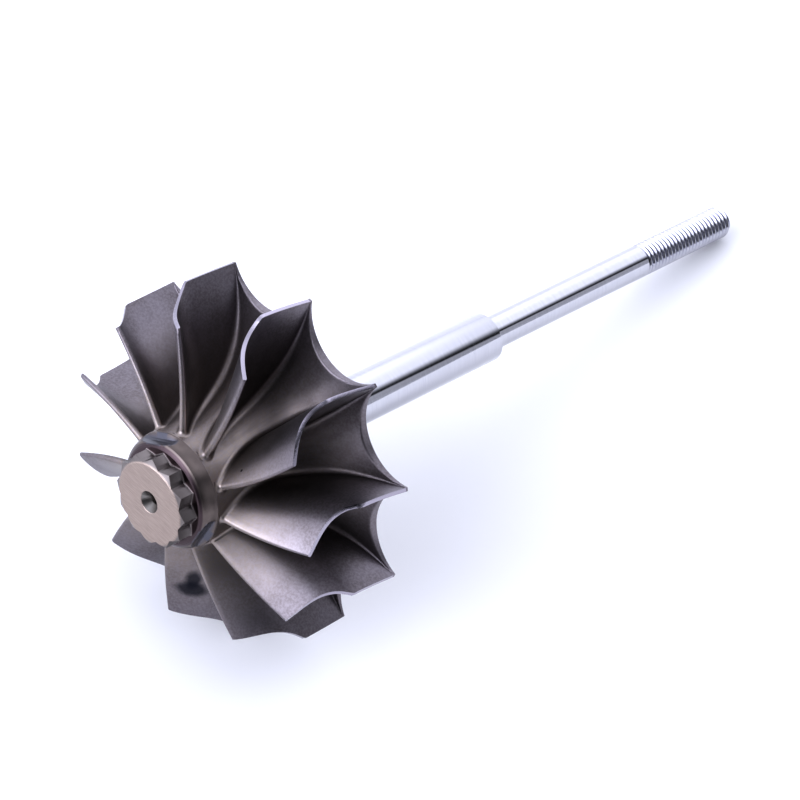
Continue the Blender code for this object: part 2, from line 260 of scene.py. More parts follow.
def blade_line(t):
    """Root and tip of the blade at chord position t, 0 at the trailing and 1 at the leading end."""
    root = hub_line(HUB_FIRST + (1.0 - HUB_FIRST) * t)
    early = EXDUCER_TIP + 2.0 * t * (LEADING_EDGE_FRONT - EXDUCER_TIP)
    late = LEADING_EDGE_FRONT + (2.0 * t - 1.0) * (DISC_FRONT - LEADING_EDGE_FRONT)
    station = np.where(t < 0.5, early, late)
    return root, (station, shroud_radius(station))


def fillet_size(t):
    """Size of the cast fillet at chord position t: it grows from the trailing edge and ends at the rim."""
    grown = FILLET_FRONT + (FILLET_MIDDLE - FILLET_FRONT) * ease(t / FILLET_GROWN)
    left = np.clip((1.0 - t) / FILLET_FADE, 0.0, 1.0)
    return FILLET_BACK + (grown - FILLET_BACK) * left ** FILLET_FADE_POWER


def level_height(t, level):
    """Height above the hub, the fillet's spread and the blade's span at a level: (kind, amount)."""
    root, tip = blade_line(t)
    span = np.hypot(tip[0] - root[0], tip[1] - root[1])
    size = np.minimum(fillet_size(t), FILLET_SPAN_LIMIT * span)
    kind, amount = level
    if kind == "fillet":
        return size * (1.0 - math.cos(amount)), size * (1.0 - math.sin(amount)), span
    return size + (span - size) * amount, np.zeros_like(t), span


def level_place(t, level):
    """Station, radius and half width of the blade at chord position t and a level."""
    height, spread, span = level_height(t, level)
    root, tip = blade_line(t)
    share = np.divide(height, span, out=np.zeros_like(height), where=span > 1e-9)
    station = root[0] + (tip[0] - root[0]) * share
    radius = root[1] + (tip[1] - root[1]) * share
    swell = (ROOT_THICKNESS - TIP_THICKNESS) * ease((1.0 - t) / ROOT_SWELL_LENGTH)
    half = 0.5 * (TIP_THICKNESS + swell * (1.0 - share))
    return station, radius, half + spread


def blade_loop(level, nose_steps, side_steps):
    """One line round a blade at a level, from the back of one side round the trailing edge."""
    zero = np.zeros(1)
    edge_station, edge_radius, width = level_place(zero, level)
    core = 0.5 * ROOT_THICKNESS if level[0] == "fillet" else width[0]
    lengthening, slope = skew(edge_station, edge_radius)
    lengthening, slope = lengthening[0], slope[0]
    centre = edge_station[0] + core / lengthening
    sides = {}
    for side in (1.0, -1.0):
        start_station = centre - side * width[0] * slope / lengthening
        start = solve(lambda t: level_place(t, level)[0], np.array([start_station]), -0.4, 0.8)[0]
        t = start + (1.0 - start) * np.linspace(0.0, 1.0, side_steps + 1) ** 1.15
        station, radius, half = level_place(t, level)
        stretch, _ = skew(station, radius)
        sides[side] = np.stack([station, radius, camber(station) + side * half * stretch / radius], 1)
    nose = []
    for k in range(1, 2 * nose_steps):
        theta = -math.pi / 2.0 + math.pi * k / (2.0 * nose_steps)
        back, across = -width[0] * math.cos(theta), width[0] * math.sin(theta)
        station = np.array([centre + (back - across * slope) / lengthening])
        t = solve(lambda value: level_place(value, level)[0], station, -0.4, 0.8)
        radius = level_place(t, level)[1]
        stretch, _ = skew(station, radius)
        nose.append((station[0], radius[0], (camber(station) + across * stretch / radius)[0]))
    return np.vstack([sides[-1.0][::-1], np.array(nose).reshape(-1, 3), sides[1.0]])


def grid_faces(shape, rows, ground=0.0):
    """Quads between equal rows of vertices, leaving out those that have shrunk to nothing.

    The faces store the value of ground, which is 1 where the real metal is ground.
    """
    layer = shape.faces.layers.float.get("ground_edge") or shape.faces.layers.float.new("ground_edge")
    for near, far in zip(rows, rows[1:]):
        for k in range(len(near) - 1):
            corners = [near[k], near[k + 1], far[k + 1], far[k]]
            distinct = []
            for vert in corners:
                if all((vert.co - other.co).length > SAME_POINT for other in distinct):
                    distinct.append(vert)
            if len(distinct) > 2:
                shape.faces.new(distinct)[layer] = ground


def add_row(shape, points):
    """Vertices for rows of (station, radius, angle)."""
    return [shape.verts.new((r * math.cos(angle), r * math.sin(angle), s)) for s, r, angle in points]


def scallop_arc(half_width, steps, inset=0.0):
    """Radius and angle along a scallop, from one fingertip to the next, about its middle line."""
    tip = (WHEEL_RADIUS * math.cos(half_width), WHEEL_RADIUS * math.sin(half_width))
    centre = (tip[0] ** 2 + tip[1] ** 2 - SCALLOP_BOTTOM ** 2) / (2.0 * (tip[0] - SCALLOP_BOTTOM))
    reach = centre - SCALLOP_BOTTOM
    start = math.atan2(tip[1], tip[0] - centre)
    turn = np.linspace(2.0 * math.pi - start, start, steps + 1)
    grow = reach + inset * np.sin(np.linspace(0.0, math.pi, steps + 1)) ** 0.5
    x, y = centre + grow * np.cos(turn), grow * np.sin(turn)
    return np.hypot(x, y), np.arctan2(y, x)


def disc_back_line(radius):
    """Station of the disc's hidden back face: flat near the rim, then a cone to the boss."""
    cone = np.clip((DISC_CONE_START - radius) / DISC_CONE_WIDTH, 0.0, None)
    return DISC_BACK + DISC_CONE_RISE * cone ** DISC_CONE_POWER


def plain_mesh(shape, name):
    """Mesh of a finished shape, whose working copy is freed."""
    mesh = bpy.data.meshes.new(name)
    shape.to_mesh(mesh)
    shape.free()
    return mesh


def wheel_sector():
    """Mesh of one blade and the passage beside it, an eleventh of the closed casting."""
    nose_steps, side_steps, across = 4, 34, 26
    fillet_rows, wall_rows = 6, 16
    levels = [("fillet", math.pi / 2.0 * k / fillet_rows) for k in range(fillet_rows + 1)]
    levels += [("wall", k / wall_rows) for k in range(1, wall_rows + 1)]
    loops = [blade_loop(level, nose_steps, side_steps) for level in levels]
    shape = bmesh.new()
    grid_faces(shape, [add_row(shape, loop) for loop in loops])
    add_blade_edge(shape, loops[-1], nose_steps + side_steps)
    add_passage(shape, loops[0], nose_steps + side_steps, across)
    bmesh.ops.remove_doubles(shape, verts=shape.verts, dist=WELD_DISTANCE)
    bmesh.ops.dissolve_degenerate(shape, edges=shape.edges, dist=SAME_POINT)
    store_openness(shape)
    return plain_mesh(shape, "wheel sector")


def store_openness(shape):
    """Stores at each vertex how much of the space before it is free of the other blades, for the painted
    shade in the passages.
    """
    bmesh.ops.recalc_face_normals(shape, faces=shape.faces)
    back = [face for face in shape.faces if all(vert.co.z > DISC_BACK - 0.01 for vert in face.verts)]
    if back[0].normal.z < 0.0:
        bmesh.ops.reverse_faces(shape, faces=shape.faces)
    shape.normal_update()
    shape.verts.index_update()
    corners, faces = [], []
    for k in range(BLADE_COUNT):
        turn = Matrix.Rotation(k * BLADE_PITCH, 3, "Z")
        faces += [[vert.index + len(corners) for vert in face.verts] for face in shape.faces]
        corners += [turn @ vert.co for vert in shape.verts]
    tree = BVHTree.FromPolygons(corners, faces)
    layer = shape.verts.layers.float.new("openness")
    rays = []
    for k in range(RAY_COUNT):
        rise = math.sqrt(1.0 - (k + 0.5) / RAY_COUNT)
        flat = math.sqrt(1.0 - rise * rise)
        turn = k * math.pi * (3.0 - math.sqrt(5.0))
        rays.append(Vector((flat * math.cos(turn), flat * math.sin(turn), rise)))
    for vert in shape.verts:
        aim = vert.normal.to_track_quat("Z", "Y")
        start = vert.co + vert.normal * RAY_START
        free = sum(tree.ray_cast(start, aim @ ray, RAY_LENGTH)[0] is None for ray in rays)
        vert[layer] = free / RAY_COUNT


def add_blade_edge(shape, loop, middle):
    """The ground outer edge and leading edge, slightly crowned, and the fingertip under it."""
    rows = []
    for k in range(middle + 1):
        low, high = loop[middle - k], loop[middle + k]
        centre = (low + high) / 2.0
        centre[1] = shroud_radius(np.array(centre[0])) + (EDGE_CROWN if 0 < k < middle else 0.0)
        rows.append(add_row(shape, [low, centre, high]))
    grid_faces(shape, rows, 1.0)
    ends = [(DISC_BACK, WHEEL_RADIUS, side * FINGER_HALF_ANGLE) for side in (-1.0, 0.0, 1.0)]
    grid_faces(shape, [rows[-1], add_row(shape, ends)])


def add_passage(shape, foot, middle, across):
    """Hub floor between two blades, the scalloped rim and the back of the disc."""
    left = foot[middle:]
    right = foot[middle::-1] + np.array([0.0, 0.0, BLADE_PITCH])
    share = np.linspace(0.0, 1.0, across + 1)
    arc_radius, arc_angle = scallop_arc(BLADE_PITCH / 2.0 - FINGER_HALF_ANGLE, across)
    arc_t = solve(lambda t: hub_line(t)[1], arc_radius, 0.2, 1.0)
    arc_angle = arc_angle + BLADE_PITCH / 2.0
    even_angle = arc_angle[0] + (arc_angle[-1] - arc_angle[0]) * share
    left_t = foot_parameter(left)
    right_t = foot_parameter(right)
    rows = []
    count = len(left) - 1
    for m in range(count + 1):
        sag = (m / count) ** RIM_POWER
        t = left_t[m] + (right_t[m] - left_t[m]) * share - sag * (1.0 - arc_t)
        angle = left[m, 2] + (right[m, 2] - left[m, 2]) * share + sag * (arc_angle - even_angle)
        station, radius = hub_line(t)
        rows.append(np.stack([station, radius, angle], 1))
    rim = [rim_row(across, inset, drop) for inset, drop in RIM_ROUND]
    rows[-1] = rim[0]
    floor = [add_row(shape, row) for row in rows]
    front = rows[0].copy()
    front[:, 0], front[:, 1] = HUB_START, HUB_RADIUS
    centre_front = front.copy()
    centre_front[:, 1] = 0.0
    lead = [add_row(shape, row) for row in (centre_front, front)]
    grid_faces(shape, lead + floor)
    back_edge = rim_row(across, 0.0, None)
    near_back = back_edge.copy()
    near_back[:, 0] -= RIM_BACK_ROUND * np.sin(math.pi * share)
    inner = rim_row(across, RIM_BACK_ROUND, None)
    grid_faces(shape, [add_row(shape, row) for row in rim + [near_back, back_edge, inner]])
    add_disc_back(shape, inner)


def foot_parameter(line):
    """Hub parameter of points on the hub line, by radius far out and by station near the nose."""
    by_station = solve(lambda t: hub_line(t)[0], line[:, 0].copy(), 0.0, 1.0)
    by_radius = solve(lambda t: hub_line(t)[1], line[:, 1].copy(), 0.3, 1.0)
    return np.where(line[:, 0] < FOOT_SWITCH, by_station, by_radius)


def rim_row(across, inset, drop):
    """One line along the scallop, moved into the disc by inset and behind its front by drop.

    A drop of None puts the line on the disc's back.
    """
    radius, angle = scallop_arc(BLADE_PITCH / 2.0 - FINGER_HALF_ANGLE, across, inset)
    station = np.full_like(radius, DISC_BACK)
    if drop is not None:
        front = hub_line(solve(lambda t: hub_line(t)[1], radius, 0.2, 1.0))[0]
        ends = np.sin(np.linspace(0.0, math.pi, across + 1)) ** 0.5
        station = front + drop * ends
    return np.stack([station, radius, angle + BLADE_PITCH / 2.0], 1)


def add_disc_back(shape, outer):
    """Back face from the scallop inwards, with the middle lines of the two fingers at its sides."""
    left_tip = np.array([[DISC_BACK, WHEEL_RADIUS, 0.0]])
    right_tip = np.array([[DISC_BACK, WHEEL_RADIUS, BLADE_PITCH]])
    first = np.vstack([left_tip, outer, right_tip])
    even = np.linspace(0.0, BLADE_PITCH, len(first))
    rows = [first]
    for share in np.linspace(0.0, 1.0, DISC_BACK_ROWS + 1)[1:]:
        radius = first[:, 1] + (DISC_BACK_INNER - first[:, 1]) * share
        angle = first[:, 2] + (even - first[:, 2]) * ease(share * 1.6)
        rows.append(np.stack([disc_back_line(radius), radius, angle], 1))
    hub_end = rows[-1].copy()
    hub_end[:, 1] = 0.0
    rows.append(hub_end)
    grid_faces(shape, [add_row(shape, row) for row in rows])


def add_node(tree, kind, settings=None, links=None):
    """Adds a node, sets its properties and unlinked inputs, and links outputs to its inputs."""
    node = tree.nodes.new(kind)
    for name, value in (settings or {}).items():
        if isinstance(name, int) or name in node.inputs:
            node.inputs[name].default_value = value
        else:
            setattr(node, name, value)
    for name, source in (links or {}).items():
        tree.links.new(source, node.inputs[name])
    return node


def repeat_tree():
    """Geometry nodes that turn copies of a mesh about the rotor axis and join them."""
    tree = bpy.data.node_groups.new("Repeat about the axis", "GeometryNodeTree")
    face = tree.interface
    face.new_socket("Geometry", in_out="INPUT", socket_type="NodeSocketGeometry")
    face.new_socket("Count", in_out="INPUT", socket_type="NodeSocketInt")
    face.new_socket("First Angle", in_out="INPUT", socket_type="NodeSocketFloat")
    face.new_socket("Material", in_out="INPUT", socket_type="NodeSocketMaterial")
    face.new_socket("Geometry", in_out="OUTPUT", socket_type="NodeSocketGeometry")
    given = add_node(tree, "NodeGroupInput")
    points = add_node(tree, "GeometryNodePoints", {"Position": (0.0, 0.0, 0.0)},
                      {"Count": given.outputs["Count"]})
    index = add_node(tree, "GeometryNodeInputIndex")
    share = calculate(tree, "DIVIDE", index.outputs[0], given.outputs["Count"])
    angle = add_node(tree, "ShaderNodeMath", {"operation": "MULTIPLY_ADD", 1: 2.0 * math.pi},
                     {0: share, 2: given.outputs["First Angle"]})
    turn = add_node(tree, "ShaderNodeCombineXYZ", None, {"Z": angle.outputs[0]})
    copies = add_node(tree, "GeometryNodeInstanceOnPoints", None,
                      {"Points": points.outputs[0], "Instance": given.outputs["Geometry"],
                       "Rotation": turn.outputs[0]})
    solid = add_node(tree, "GeometryNodeRealizeInstances", None, {0: copies.outputs[0]})
    joined = add_node(tree, "GeometryNodeMergeByDistance", {"Distance": 0.002}, {0: solid.outputs[0]})
    finish = add_node(tree, "GeometryNodeSetMaterial", None,
                      {"Geometry": joined.outputs[0], "Material": given.outputs["Material"]})
    add_node(tree, "NodeGroupOutput", None, {0: finish.outputs[0]})
    return tree


def thread_tree():
    """Geometry nodes that sweep a thread's tooth along a helix which fades out at both ends."""
    tree = bpy.data.node_groups.new("Thread along a helix", "GeometryNodeTree")
    face = tree.interface
    face.new_socket("Geometry", in_out="INPUT", socket_type="NodeSocketGeometry")
    for name in ("Turns", "Root Radius", "Pitch", "Depth"):
        face.new_socket(name, in_out="INPUT", socket_type="NodeSocketFloat")
    face.new_socket("Material", in_out="INPUT", socket_type="NodeSocketMaterial")
    face.new_socket("Geometry", in_out="OUTPUT", socket_type="NodeSocketGeometry")
    given = add_node(tree, "NodeGroupInput")
    height = multiply(tree, given.outputs["Turns"], given.outputs["Pitch"])
    helix = add_node(tree, "GeometryNodeCurveSpiral", {"Resolution": HELIX_STEPS},
                     {"Rotations": given.outputs["Turns"], "Start Radius": given.outputs["Root Radius"],
                      "End Radius": given.outputs["Root Radius"], "Height": height})
    upright = add_node(tree, "GeometryNodeSetCurveNormal", {"mode": "Z_UP"}, {0: helix.outputs[0]})
    tooth = thread_tooth(tree, given)
    along = add_node(tree, "GeometryNodeSplineParameter")
    fade = thread_fade(tree, along.outputs["Factor"])
    sized = add_node(tree, "GeometryNodeSetCurveRadius", None, {"Curve": upright.outputs[0], "Radius": fade})
    sweep = add_node(tree, "GeometryNodeCurveToMesh", {"Fill Caps": True},
                     {"Curve": sized.outputs[0], "Profile Curve": tooth})
    solid = add_node(tree, "GeometryNodeRealizeInstances", None, {0: sweep.outputs[0]})
    finish = add_node(tree, "GeometryNodeSetMaterial", None,
                      {"Geometry": solid.outputs[0], "Material": given.outputs["Material"]})
    add_node(tree, "NodeGroupOutput", None, {0: finish.outputs[0]})
    return tree


def thread_tooth(tree, given):
    """Outline of one tooth: wide at the root of the thread, about a seventh of the pitch at its crest.

    The sweep points the outline's X axis at the shaft's middle, so the crest lies at minus the depth.
    """
    outward = multiply(tree, given.outputs["Depth"], -1.0)
    corners = []
    for share, at_crest in ((-TOOTH_ROOT_HALF, False), (-TOOTH_CREST_HALF, True),
                            (TOOTH_CREST_HALF, True), (TOOTH_ROOT_HALF, False)):
        links = {"Y": multiply(tree, given.outputs["Pitch"], share)}
        if at_crest:
            links["X"] = outward
        corners.append(add_node(tree, "ShaderNodeCombineXYZ", None, links))
    outline = add_node(tree, "GeometryNodeCurvePrimitiveQuadrilateral", {"mode": "POINTS"},
                       {f"Point {k + 1}": corner.outputs[0] for k, corner in enumerate(corners)})
    return outline.outputs[0]


def thread_fade(tree, factor):
    """Tooth size along the helix: it grows in over most of a turn, and shrinks over most of the last."""
    grow = ramp(tree, factor, 0.0, TOOTH_GROWN, TOOTH_FIRST_SIZE, 1.0, smooth=False)
    shrink = ramp(tree, factor, TOOTH_SHRINKS, 1.0, 1.0, TOOTH_LAST_SIZE, smooth=False)
    return calculate(tree, "MINIMUM", grow, shrink)


def run_tree(name, mesh, tree, values):
    """Runs a geometry-nodes tree on a mesh and returns the result as a plain mesh."""
    holder = bpy.data.objects.new(name + " source", mesh)
    bpy.context.scene.collection.objects.link(holder)
    modifier = holder.modifiers.new("nodes", "NODES")
    modifier.node_group = tree
    for item in tree.interface.items_tree:
        if item.in_out == "INPUT" and item.name in values:
            modifier[item.identifier] = values[item.name]
    graph = bpy.context.evaluated_depsgraph_get()
    result = bpy.data.meshes.new_from_object(holder.evaluated_get(graph), depsgraph=graph)
    bpy.data.objects.remove(holder, do_unlink=True)
    result.name = name
    return result


def finish_piece(name, mesh, finish, nodes, sharp=32.0):
    """Places a mesh made about the rotor axis, and hands it to the frame in place of its nodes."""
    mesh.transform(rotor_matrix())
    shape = bmesh.new()
    shape.from_mesh(mesh)
    bmesh.ops.recalc_face_normals(shape, faces=shape.faces)
    shape.to_mesh(mesh)
    shape.free()
    mesh.materials.clear()
    mesh.materials.append(finish)
    piece = bpy.data.objects.new(name, mesh)
    bpy.context.scene.collection.objects.link(piece)
    mesh.shade_smooth()
    mesh.set_sharp_from_angle(angle=math.radians(sharp))
    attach(piece, "root")
    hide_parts(*nodes)


def turned_mesh(name, profile, segments=144):
    """Closed mesh turned about the axis from (station, radius) points that start and end at radius 0."""
    shape = bmesh.new()
    angles = np.linspace(0.0, 2.0 * math.pi, segments + 1)
    rows = [add_row(shape, [(s, r, angle) for angle in angles]) for s, r in profile]
    grid_faces(shape, rows)
    bmesh.ops.remove_doubles(shape, verts=shape.verts, dist=WELD_DISTANCE)
    return plain_mesh(shape, name)


def make_wheel(finish):
    """The casting: eleven copies of one closed sector, merged at their seams."""
    tree = repeat_tree()
    first = math.pi / 2.0 + (0.5 - BLADE_COUNT + 1.0) * BLADE_PITCH
    mesh = run_tree("cast_wheel", wheel_sector(), tree,
                    {"Count": BLADE_COUNT, "First Angle": first, "Material": finish})
    nodes = ["hub", "back_disc"] + [f"blade_{k + 1:02d}" for k in range(BLADE_COUNT)]
    finish_piece("cast_wheel", mesh, finish, nodes, sharp=38.0)


def star_radius(angle):
    """Radius of the twelve-point outline: straight flats between crests and valleys."""
    step = math.pi / DRIVE_POINTS
    phase = (angle - math.radians(DRIVE_TURN)) / step
    share = phase - np.floor(phase)
    from_crest = np.where(np.floor(phase) % 2 == 0, share, 1.0 - share) * step
    corner = (DRIVE_VALLEY * math.cos(step), DRIVE_VALLEY * math.sin(step))
    edge = (corner[0] - DRIVE_CREST, corner[1])
    return DRIVE_CREST * edge[1] / (edge[1] * np.cos(from_crest) - edge[0] * np.sin(from_crest))


def make_nose_drive(finish):
    """Twelve-point nose with a chamfered front, ground face and centre-drilled hole.

    The offsets of less than half a millimetre are broken edges and the drill's point.
    """
    per_flat = 5
    angles = math.radians(DRIVE_TURN) + np.linspace(0.0, 2.0 * math.pi, 2 * DRIVE_POINTS * per_flat + 1)
    star = star_radius(angles)
    ground = DRIVE_FACE_RADIUS + DRIVE_FACE_OFFSET * np.cos(angles - math.radians(DRIVE_FACE_OFFSET_TURN))
    face = np.minimum(star - 0.1, ground)
    chamfer = (star - face) / DRIVE_CHAMFER_SLOPE
    flat = np.ones_like(angles)
    hole_edge = CENTRE_HOLE_RADIUS + 0.12
    drill = CENTRE_DRILL_RADIUS
    rows = [(flat * (CENTRE_HOLE_DEPTH + 0.4), flat * 0.0), (flat * CENTRE_HOLE_DEPTH, flat * drill),
            (flat * (CENTRE_CONE_DEPTH + 0.1), flat * drill),
            (flat * CENTRE_CONE_DEPTH, flat * (drill + 0.06)),
            (flat * 0.08, flat * CENTRE_HOLE_RADIUS), (flat * 0.0, flat * hole_edge),
            (flat * 0.0, flat * 6.0), (flat * 0.0, face - 0.05), (flat * 0.03, face),
            (chamfer, star - 0.03), (chamfer + 0.05, star), (flat * (DRIVE_LENGTH - 0.35), star),
            (flat * (DRIVE_LENGTH - 0.1), star + 0.1), (flat * DRIVE_LENGTH, star + 0.35),
            (flat * DRIVE_LENGTH, flat * 0.0)]
    shape = bmesh.new()
    grid_faces(shape, [add_row(shape, list(zip(s, r, angles))) for s, r in rows])
    bmesh.ops.remove_doubles(shape, verts=shape.verts, dist=WELD_DISTANCE)
    mesh = plain_mesh(shape, "nose_drive_piece")
    finish_piece("nose_points", mesh, finish, ["nose_drive"], sharp=20.0)


def make_nose_collar(finish):
    """Collar with a flat ground on it at two places for balance, each running out at the hub."""
    angles = np.linspace(0.0, 2.0 * math.pi, COLLAR_STEPS + 1)
    profile = [(DRIVE_LENGTH, 0.0), *COLLAR_LINE, (HUB_START, 0.0)]
    run_start, run_end = BALANCE_RUN_OUT
    shape = bmesh.new()
    layer = shape.verts.layers.float.new("balance_flat")
    rows = []
    for station, radius in profile:
        run_out = min(max((station - run_start) / (run_end - run_start), 0.0), 1.0)
        distance = BALANCE_DISTANCE + run_out * (HUB_RADIUS - BALANCE_DISTANCE)
        limit = np.full_like(angles, FAR_OUT)
        for turn in BALANCE_FLATS:
            away = (angles - math.radians(turn) + math.pi) % (2.0 * math.pi) - math.pi
            near = np.abs(away) < 1.0
            limit = np.where(near, np.minimum(limit, distance / np.cos(np.where(near, away, 0.0))), limit)
        cut = np.minimum(radius, limit) if radius > 0.0 else angles * 0.0
        row = add_row(shape, [(station, r, a) for r, a in zip(cut, angles)])
        for vert, reached in zip(row, cut):
            vert[layer] = float(0.0 < reached < radius - 1e-3)
        rows.append(row)
    grid_faces(shape, rows)
    bmesh.ops.remove_doubles(shape, verts=shape.verts, dist=WELD_DISTANCE)
    mesh = plain_mesh(shape, "nose_collar_piece")
    finish_piece("balance_collar", mesh, finish, ["nose_collar"], sharp=14.0)


def make_shaft(steel):
    """Boss, neck, journal and shank, each turned with its small chamfers."""
    groove, end = RING_GROOVE
    boss = [(BOSS_ROOT[0], 0.0), BOSS_ROOT, (BOSS_START, BOSS_RADIUS),
            (groove - GROOVE_EDGE, BOSS_RADIUS), (groove, BOSS_RADIUS - GROOVE_EDGE),
            (groove, RING_GROOVE_RADIUS), (end, RING_GROOVE_RADIUS), (end, BOSS_RADIUS - GROOVE_EDGE),
            (end + GROOVE_EDGE, BOSS_RADIUS), (BOSS_END - BOSS_CHAMFER, BOSS_RADIUS),
            (BOSS_END, BOSS_RADIUS - BOSS_CHAMFER), (BOSS_END, 0.0)]
    finish_piece("ring_boss", turned_mesh("ring_boss", boss), steel, ["seal_boss"])
    neck = [(BOSS_END, 0.0), *NECK_LINE, (NECK_END, JOURNAL_RADIUS), (JOURNAL_START, JOURNAL_RADIUS),
            (JOURNAL_START, 0.0)]
    finish_piece("welded_neck", turned_mesh("welded_neck", neck), steel, ["shaft_neck"])
    shoulder = [(JOURNAL_END - back, JOURNAL_RADIUS - drop) for back, drop in JOURNAL_CHAMFER]
    journal = [(JOURNAL_START, 0.0), (JOURNAL_START, JOURNAL_RADIUS), *shoulder, (JOURNAL_END, 0.0)]
    finish_piece("journal", turned_mesh("journal", journal), steel, ["bearing_journal"])
    shank = [(JOURNAL_END, 0.0), (JOURNAL_END, SHANK_RADIUS), (RUN_OUT[0], SHANK_RADIUS),
             (RUN_OUT[0], 0.0)]
    finish_piece("shank", turned_mesh("shank", shank), steel, ["compressor_shank"])


def make_thread(steel):
    """Core of the threaded end with one helical tooth round it, which runs out into the shank."""
    root = THREAD_RADIUS - THREAD_DEPTH
    core_line = [(RUN_OUT[0], 0.0), (RUN_OUT[0], SHANK_RADIUS - 0.01), (RUN_OUT[1], root),
                 (ROTOR_LENGTH - THREAD_END_CHAMFER, root), (ROTOR_LENGTH, root - THREAD_END_CHAMFER),
                 (ROTOR_LENGTH, 0.0)]
    core = turned_mesh("core", core_line, CORE_SEGMENTS)
    length = HELIX_END - HELIX_START
    tooth = run_tree("tooth", bpy.data.meshes.new("empty"), thread_tree(),
                     {"Turns": length / THREAD_PITCH, "Root Radius": root - THREAD_SINK,
                      "Pitch": THREAD_PITCH, "Depth": THREAD_DEPTH + THREAD_SINK, "Material": steel})
    tooth.transform(Matrix.Translation((0.0, 0.0, HELIX_START)))
    shape = bmesh.new()
    shape.from_mesh(core)
    shape.from_mesh(tooth)
    mesh = plain_mesh(shape, "thread_piece")
    finish_piece("thread", mesh, steel, ["threaded_end"], sharp=25.0)


def linear(hex_colour):
    """Linear colour of an sRGB hex value."""
    parts = [int(hex_colour[k:k + 2], 16) / 255.0 for k in (1, 3, 5)]
    return tuple(c / 12.92 if c <= 0.04045 else ((c + 0.055) / 1.055) ** 2.4 for c in parts) + (1.0,)


def new_material(name, colour, roughness, metallic=1.0):
    """A material with its node tree and its shader."""
    made = bpy.data.materials.new(name)
    made.use_nodes = True
    shader = made.node_tree.nodes["Principled BSDF"]
    shader.inputs["Base Color"].default_value = linear(colour)
    shader.inputs["Roughness"].default_value = roughness
    shader.inputs["Metallic"].default_value = metallic
    return made, made.node_tree, shader


def rotor_place(tree):
    """Position in the rotor's own axes: the vector, the station and the radius, in metres."""
    place = add_node(tree, "ShaderNodeTexCoord")
    local = add_node(tree, "ShaderNodeMapping",
                     {"vector_type": "TEXTURE", "Location": Vector(NOSE_PLACE) * MM, "Rotation": ROTOR_TURN},
                     {"Vector": place.outputs["Object"]})
    parts = add_node(tree, "ShaderNodeSeparateXYZ", None, {0: local.outputs[0]})
    flat = add_node(tree, "ShaderNodeCombineXYZ", None, {"X": parts.outputs[0], "Y": parts.outputs[1]})
    radius = add_node(tree, "ShaderNodeVectorMath", {"operation": "LENGTH"}, {0: flat.outputs[0]})
    return local.outputs[0], parts.outputs[2], radius.outputs["Value"]


def noise(tree, place, feature, detail=2.0, rough=0.5, stretch=(1.0, 1.0, 1.0)):
    """Noise with features of the given size in millimetres, finer along an axis stretched more."""
    sized = add_node(tree, "ShaderNodeMapping", {"Scale": stretch}, {"Vector": place})
    made = add_node(tree, "ShaderNodeTexNoise",
                    {"Scale": 1.0 / (feature * MM), "Detail": detail, "Roughness": rough},
                    {"Vector": sized.outputs[0]})
    return made.outputs[0]


def ramp(tree, value, low, high, start=0.0, end=1.0, smooth=True):
    """Value mapped from low..high to start..end."""
    made = add_node(tree, "ShaderNodeMapRange",
                    {"interpolation_type": "SMOOTHSTEP" if smooth else "LINEAR", "From Min": low,
                     "From Max": high, "To Min": start, "To Max": end}, {"Value": value})
    return made.outputs[0]


def mix_colour(tree, factor, first, second, blend="MIX"):
    """Mix of two colours, each a socket or a hex colour."""
    made = add_node(tree, "ShaderNodeMix", {"data_type": "RGBA", "blend_type": blend})
    for socket, value in ((0, factor), (6, first), (7, second)):
        if isinstance(value, str):
            made.inputs[socket].default_value = linear(value)
        elif isinstance(value, float):
            made.inputs[socket].default_value = value
        else:
            tree.links.new(value, made.inputs[socket])
    return made.outputs[2]


def calculate(tree, operation, first, second):
    """Result of an operation on a socket and a number or another socket."""
    made = add_node(tree, "ShaderNodeMath", {"operation": operation}, {0: first})
    if isinstance(second, float):
        made.inputs[1].default_value = second
    else:
        tree.links.new(second, made.inputs[1])
    return made.outputs[0]


def multiply(tree, first, second):
    """Product of a socket and a number or another socket."""
    return calculate(tree, "MULTIPLY", first, second)


def spot(tree, place, centre, size, soft, ragged=0.0):
    """1 inside an ellipsoid about a point, turned 45 degrees about Y, fading to 0 at its edge."""
    moved = add_node(tree, "ShaderNodeMapping",
                     {"vector_type": "TEXTURE", "Location": Vector(centre) * MM,
                      "Rotation": (0.0, -math.pi / 4.0, 0.0), "Scale": Vector(size) * MM},
                     {"Vector": place})
    away = add_node(tree, "ShaderNodeVectorMath", {"operation": "LENGTH"}, {0: moved.outputs[0]})
    wander = add_node(tree, "ShaderNodeMath", {"operation": "MULTIPLY_ADD", 1: ragged},
                      {0: noise(tree, place, 1.6, 2.0), 2: away.outputs["Value"]})
    return ramp(tree, wander.outputs[0], 1.0 - soft + ragged / 2.0, 1.0 + soft + ragged / 2.0, 1.0, 0.0)


def set_bump(tree, shader, height, depth, strength=1.0):
    """Bump of the given depth in millimetres."""
    bump = add_node(tree, "ShaderNodeBump", {"Strength": strength, "Distance": depth * MM},
                    {"Height": height})
    tree.links.new(bump.outputs[0], shader.inputs["Normal"])


